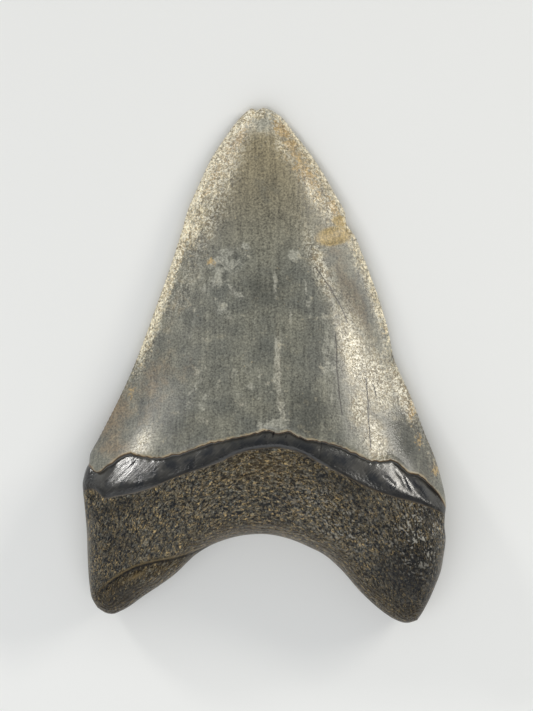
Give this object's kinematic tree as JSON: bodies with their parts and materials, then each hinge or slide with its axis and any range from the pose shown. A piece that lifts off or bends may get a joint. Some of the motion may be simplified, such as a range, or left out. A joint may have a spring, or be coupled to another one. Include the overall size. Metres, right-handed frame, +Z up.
{
  "type": "fossil megalodon tooth",
  "caption": "Large triangular fossil shark tooth with serrated edges, a dark collar and a two-lobed root, lying on its outer face.",
  "frame": {"origin": "centre of the tooth's outline, on the surface that it lies on", "axes": "+X across the tooth, +Y from the root to the tip, +Z up, out of the inner face that carries the collar"},
  "size_m": [0.065, 0.0924, 0.0172],
  "materials": {
    "fossil": "mineralised enamel, grey to cream with a low satin shine, over a blue-black collar and a rough dark brown root"
  },
  "bodies": {
    "root": {"tooth": "fossil"}
  },
  "joints": []
}
